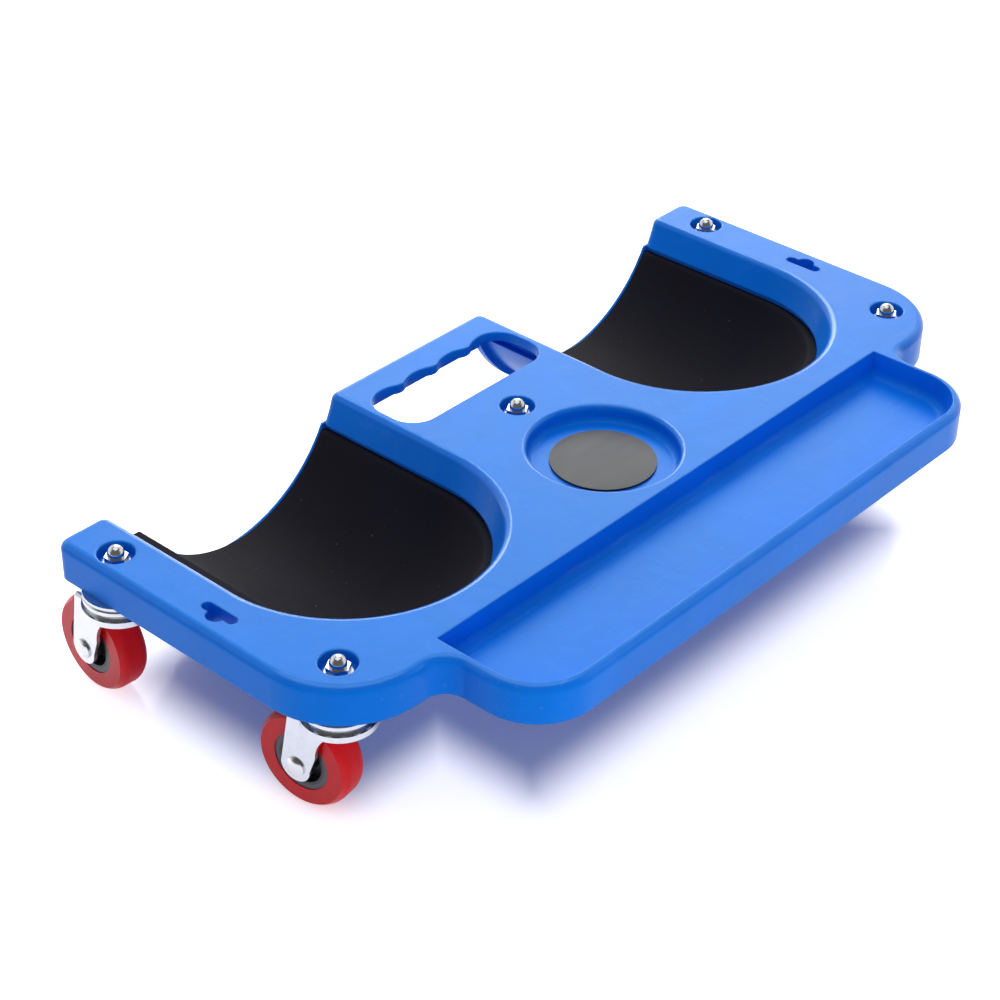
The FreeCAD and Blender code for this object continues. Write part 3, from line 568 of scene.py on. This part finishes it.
def foam_pad(work, low, high, settings):
    """One foam pad: a skin inside the cup, a flat cut rim, a back and two flat ends."""
    middle = (low.x + high.x) / 2
    half = (high.x - low.x) / 2
    depth = high.z - low.z
    radius = (half * half + depth * depth) / (2 * depth)
    axis = low.z + radius
    outer = Vector((middle, low.y + half, axis))
    inner = outer + Vector((settings.cup_shift, 0.0, -settings.cup_sink))
    reach = high.y - outer.y
    line = [reach * step / SIDE_STEPS for step in range(SIDE_STEPS, 0, -1)]
    turns = [-back for back in line] + [step / TURN_STEPS for step in range(TURN_STEPS + 1)]
    turns += [1.0 + back for back in reversed(line)]
    inner_top = math.acos((inner.z - high.z) / settings.cup_radius)
    outer_top = math.acos((outer.z - high.z) / radius)
    columns = []
    for turn in turns:
        section = []
        for step in range(SKIN_STEPS + 1):
            angle = inner_top * step / SKIN_STEPS
            point = trough_point(inner, settings.cup_radius, turn, angle)
            section.append(work.verts.new(point))
        brim = trough_point(outer, radius, turn, outer_top)
        for step in range(1, RIM_STEPS + 1):
            section.append(work.verts.new(section[SKIN_STEPS].co.lerp(brim, step / RIM_STEPS)))
        for step in range(BACK_STEPS - 1, -1, -1):
            angle = outer_top * step / BACK_STEPS
            section.append(work.verts.new(trough_point(outer, radius, turn, angle)))
        columns.append(section)
    last = len(columns[0]) - 1
    for left, right in zip(columns, columns[1:]):
        for row in range(last):
            face = work.faces.new((left[row], right[row], right[row + 1], left[row + 1]))
            face.material_index = int(SKIN_STEPS <= row < SKIN_STEPS + RIM_STEPS)
    for column in (columns[0], columns[-1]):
        crescent_end(work, column)
    bmesh.ops.remove_doubles(work, verts=work.verts, dist=0.00002)
    bmesh.ops.dissolve_degenerate(work, edges=work.edges, dist=0.00001)
    bmesh.ops.recalc_face_normals(work, faces=work.faces)
    sharp = [edge for edge in work.edges
             if edge.is_manifold and edge.calc_face_angle() > math.radians(35)]
    bmesh.ops.bevel(work, geom=sharp, offset=settings.rounding, segments=4, profile=0.5,
                    affect="EDGES", clamp_overlap=True)
    wave_skin(work, high, settings.unevenness)


def crescent_end(work, column):
    """Closes one half of the pad's flat rear end, from the bottom line up to the rim."""
    inside = column[:SKIN_STEPS + 1]
    outside = column[SKIN_STEPS + RIM_STEPS:]
    outside.reverse()
    for step in range(BACK_STEPS):
        first = round(SKIN_STEPS * step / BACK_STEPS)
        second = round(SKIN_STEPS * (step + 1) / BACK_STEPS)
        ring = inside[first:second + 1] + [outside[step + 1], outside[step]]
        face = work.faces.new(ring)
        face.material_index = 1
    rim = column[SKIN_STEPS:SKIN_STEPS + RIM_STEPS + 1]
    work.faces.new(rim).material_index = 1


def wave_skin(work, high, amount):
    """Presses the skin in a little here and there, but less towards the rim and the rear end."""
    margin = 0.012
    work.normal_update()
    for vertex in work.verts:
        fade = min(1.0, (high.z - vertex.co.z) / margin, (high.y - vertex.co.y) / margin)
        lift = noise.noise(vertex.co * 38.0) * 0.7 + noise.noise(vertex.co * 110.0) * 0.3
        vertex.co -= vertex.normal * amount * max(0.0, fade) * abs(lift)


def ball_ring(work, centre, height, settings):
    """A ring of bearing balls round one swivel."""
    for number in range(settings.ball_count):
        turn = math.tau * number / settings.ball_count
        place = Vector((centre.x + settings.ball_circle * math.cos(turn),
                        centre.y + settings.ball_circle * math.sin(turn), height))
        bmesh.ops.create_icosphere(work, subdivisions=3, radius=settings.ball_radius,
                                   matrix=Matrix.Translation(place))


# ---------------------------------------------------------------- operators
class CREEPER_OT_board(bpy.types.Operator):
    """Finish the moulded board and the disc in its dish"""

    bl_idname = "creeper.board"
    bl_label = "Board"

    def execute(self, context):
        settings = context.scene.creeper_board
        give("platform", moulded_plastic(settings))
        give("dish_disc", matt_disc(settings))
        return {"FINISHED"}


class CREEPER_OT_pads(bpy.types.Operator):
    """Make the two foam knee pads"""

    bl_idname = "creeper.pads"
    bl_label = "Knee pads"

    def execute(self, context):
        settings = context.scene.creeper_pads
        skin, cut = foam_skin(settings), foam_cut(settings)
        for side in ("left", "right"):
            node = "knee_pad_" + side
            low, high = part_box(node)
            pad = new_piece("foam_pad_" + side,
                            lambda work: foam_pad(work, low, high, settings), skin, cut)
            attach(pad, "base")
            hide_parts(node)
            give(node, skin)
        return {"FINISHED"}


class CREEPER_OT_fastenings(bpy.types.Operator):
    """Finish the acorn nuts and washers"""

    bl_idname = "creeper.fastenings"
    bl_label = "Nuts and washers"

    def execute(self, context):
        settings = context.scene.creeper_casters
        give("acorn_nuts", polished_chrome())
        give("washers", zinc_plating(settings, "dull_zinc", 0.34))
        return {"FINISHED"}


class CREEPER_OT_casters(bpy.types.Operator):
    """Finish the caster frames and make their bearing balls"""

    bl_idname = "creeper.casters"
    bl_label = "Casters"

    def execute(self, context):
        settings = context.scene.creeper_casters
        zinc = zinc_plating(settings, "bright_zinc", 0.15)
        chrome, black = polished_chrome(), cage_plastic()
        grey, steel = axle_plastic(), ball_steel()
        for name in CASTERS:
            for kind in ("kingpin", "top_cup", "lower_race", "fork"):
                give(kind + "_" + name, zinc)
            for kind in ("axle", "axle_nut"):
                give(kind + "_" + name, chrome)
            give("ball_cage_" + name, black)
            give("sleeve_" + name, grey)
            centre = Vector(JOINTS["swivel_" + name]["pos_m"])
            low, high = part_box("ball_cage_" + name)
            balls = new_piece("bearing_balls_" + name,
                              lambda work: ball_ring(work, centre, (low.z + high.z) / 2,
                                                     settings), steel)
            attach(balls, "base")
        return {"FINISHED"}


class CREEPER_OT_wheels(bpy.types.Operator):
    """Finish the treads and hubs of the wheels"""

    bl_idname = "creeper.wheels"
    bl_label = "Wheels"

    def execute(self, context):
        settings = context.scene.creeper_casters
        for name in CASTERS:
            joint = JOINTS["wheel_" + name]
            wheel_radius = joint["pos_m"][2]
            give("tread_" + name, urethane(settings, joint, wheel_radius))
            give("wheel_core_" + name, wheel_hub(settings, joint))
        return {"FINISHED"}


class CREEPER_OT_stage(bpy.types.Operator):
    """Set the floor, the even light, the lamps and the camera"""

    bl_idname = "creeper.stage"
    bl_label = "Stage"

    def execute(self, context):
        settings = context.scene.creeper_stage
        scene = context.scene
        low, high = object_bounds()
        centre = (low + high) / 2
        self.lay_floor(settings, low, high)
        self.light_world(scene, settings)
        for name, place, size, setting, mirrored in LAMPS:
            self.hang_lamp(name, Vector(place), centre, size, getattr(settings, setting),
                           mirrored)
        self.set_camera(scene, settings)
        scene.view_settings.view_transform = "Standard"
        return {"FINISHED"}

    def lay_floor(self, settings, low, high):
        """A white floor whose glow paints the board's shadow, dim and bluish under its outline and white beyond;
        clear from below.
        """
        mesh = bpy.data.meshes.new("floor")
        work = bmesh.new()
        bmesh.ops.create_grid(work, x_segments=8, y_segments=8, size=4.0)
        work.to_mesh(mesh)
        work.free()
        floor = bpy.data.objects.new("floor", mesh)
        bpy.context.scene.collection.objects.link(floor)
        material, s = finish("plain_floor")
        near_left, far_right = OPENINGS["tool_tray"]
        rim = 2 * (near_left.y - low.y)
        board = s.beyond(Vector((low.x, far_right.y, 0.0)), Vector((high.x, high.y, 0.0)),
                         WING_CORNER)
        nose = s.beyond(Vector((near_left.x - rim, low.y, 0.0)),
                        Vector((far_right.x + rim, high.y, 0.0)), TRAY_CORNER)
        seen = (s.ray("Camera") + s.ray("Glossy") + s.ray("Transmission")).math(
            "MINIMUM", 1.0)
        # painted shadow: the glow seen by camera, glossy and transmission rays is dim and bluish within the
        # board's outline and white beyond it
        far = s.step(board.math("MINIMUM", nose), *SHADE)
        painted_shadow_glow = s.blend(far, (0.030, 0.032, 0.058), (0.77, 0.765, 0.79))
        grain = s.noise(0.3, 2.0, 0.5)
        base = s.blend(grain, scaled(settings.floor, 0.995), scaled(settings.floor, 1.0))
        below = s.node("ShaderNodeNewGeometry", output="Backfacing")
        s.surface(Base_Color=base, Roughness=0.12 + grain * 0.03, Specular_IOR_Level=0.18,
                  Emission_Color=s.blend(seen, (0.0, 0.0, 0.0), painted_shadow_glow),
                  Emission_Strength=1.0, Alpha=1.0 - below)
        mesh.materials.append(material)
        floor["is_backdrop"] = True

    def light_world(self, scene, settings):
        """Even light; metal and gloss see a white room, darker above and in front."""
        world = bpy.data.worlds.new("even_light")
        world.use_nodes = True
        scene.world = world
        s = Shader(world.node_tree)
        direction = s.node("ShaderNodeTexCoord", output="Generated")
        up = s.component(direction, 2)
        front = s.vector_math("DOT_PRODUCT", direction, (-0.68, -0.62, 0.40), output="Value")
        dark = s.step(up, 0.60, 0.80).math("MAXIMUM", s.step(front, 0.10, 0.55))
        room = s.blend(dark, (1.0, 1.0, 1.0), (0.16, 0.15, 0.145))
        level = s.blend(s.ray("Glossy"), scaled((0.92, 0.97, 1.30), settings.fill), room)
        seen = s.ray("Camera") + s.ray("Transmission")
        sky = s.node("ShaderNodeBackground",
                     {"Color": s.blend(seen, level, (1.0, 1.0, 1.0)), "Strength": 1.0})
        s.node("ShaderNodeOutputWorld", {"Surface": sky})

    def hang_lamp(self, name, place, target, size, power, mirrored):
        data = bpy.data.lights.new(name, "AREA")
        data.shape = "RECTANGLE"
        data.size, data.size_y = size
        data.energy = power
        lamp = bpy.data.objects.new(name, data)
        lamp.location = place
        lamp.rotation_mode = "QUATERNION"
        lamp.rotation_quaternion = (target - place).to_track_quat("-Z", "Y")
        lamp.visible_glossy = mirrored
        lamp.visible_camera = False
        bpy.context.scene.collection.objects.link(lamp)

    def set_camera(self, scene, settings):
        data = bpy.data.cameras.new("camera")
        data.lens = settings.lens
        data.sensor_width = 36.0
        data.shift_x, data.shift_y = CAMERA_SHIFT
        data.clip_start = 0.02
        data.clip_end = 30.0
        camera = bpy.data.objects.new("camera", data)
        azimuth, elevation, roll = (math.radians(turn) for turn in CAMERA_TURN)
        back = Vector((math.sin(azimuth) * math.cos(elevation),
                       -math.cos(azimuth) * math.cos(elevation), math.sin(elevation)))
        camera.location = CAMERA_PLACE
        camera.rotation_mode = "QUATERNION"
        camera.rotation_quaternion = ((-back).to_track_quat("-Z", "Y")
                                      @ Quaternion((0.0, 0.0, 1.0), roll))
        scene.collection.objects.link(camera)
        scene.camera = camera


class CREEPER_PT_panel(bpy.types.Panel):
    """The creeper's settings and its building steps"""

    bl_label = "Kneeling creeper"
    bl_idname = "CREEPER_PT_panel"
    bl_space_type = "VIEW_3D"
    bl_region_type = "UI"
    bl_category = "Creeper"

    def draw(self, context):
        for name, _group in GROUPS:
            settings = getattr(context.scene, name)
            box = self.layout.box()
            for setting in settings.__annotations__:
                box.prop(settings, setting)
        for operator in STEPS:
            self.layout.operator(operator.bl_idname)


GROUPS = (
    ("creeper_board", BoardSettings),
    ("creeper_pads", PadSettings),
    ("creeper_casters", CasterSettings),
    ("creeper_stage", StageSettings),
)
STEPS = (CREEPER_OT_board, CREEPER_OT_pads, CREEPER_OT_fastenings, CREEPER_OT_casters,
         CREEPER_OT_wheels, CREEPER_OT_stage)


def register():
    for name, group in GROUPS:
        bpy.utils.register_class(group)
        setattr(bpy.types.Scene, name, PointerProperty(type=group))
    for kind in (*STEPS, CREEPER_PT_panel):
        bpy.utils.register_class(kind)


def unregister():
    for kind in (CREEPER_PT_panel, *reversed(STEPS)):
        bpy.utils.unregister_class(kind)
    for name, group in reversed(GROUPS):
        delattr(bpy.types.Scene, name)
        bpy.utils.unregister_class(group)


def main():
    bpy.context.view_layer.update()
    register()
    bpy.ops.creeper.board()
    bpy.ops.creeper.pads()
    bpy.ops.creeper.fastenings()
    bpy.ops.creeper.casters()
    bpy.ops.creeper.wheels()
    bpy.ops.creeper.stage()


if __name__ == "__main__":
    main()
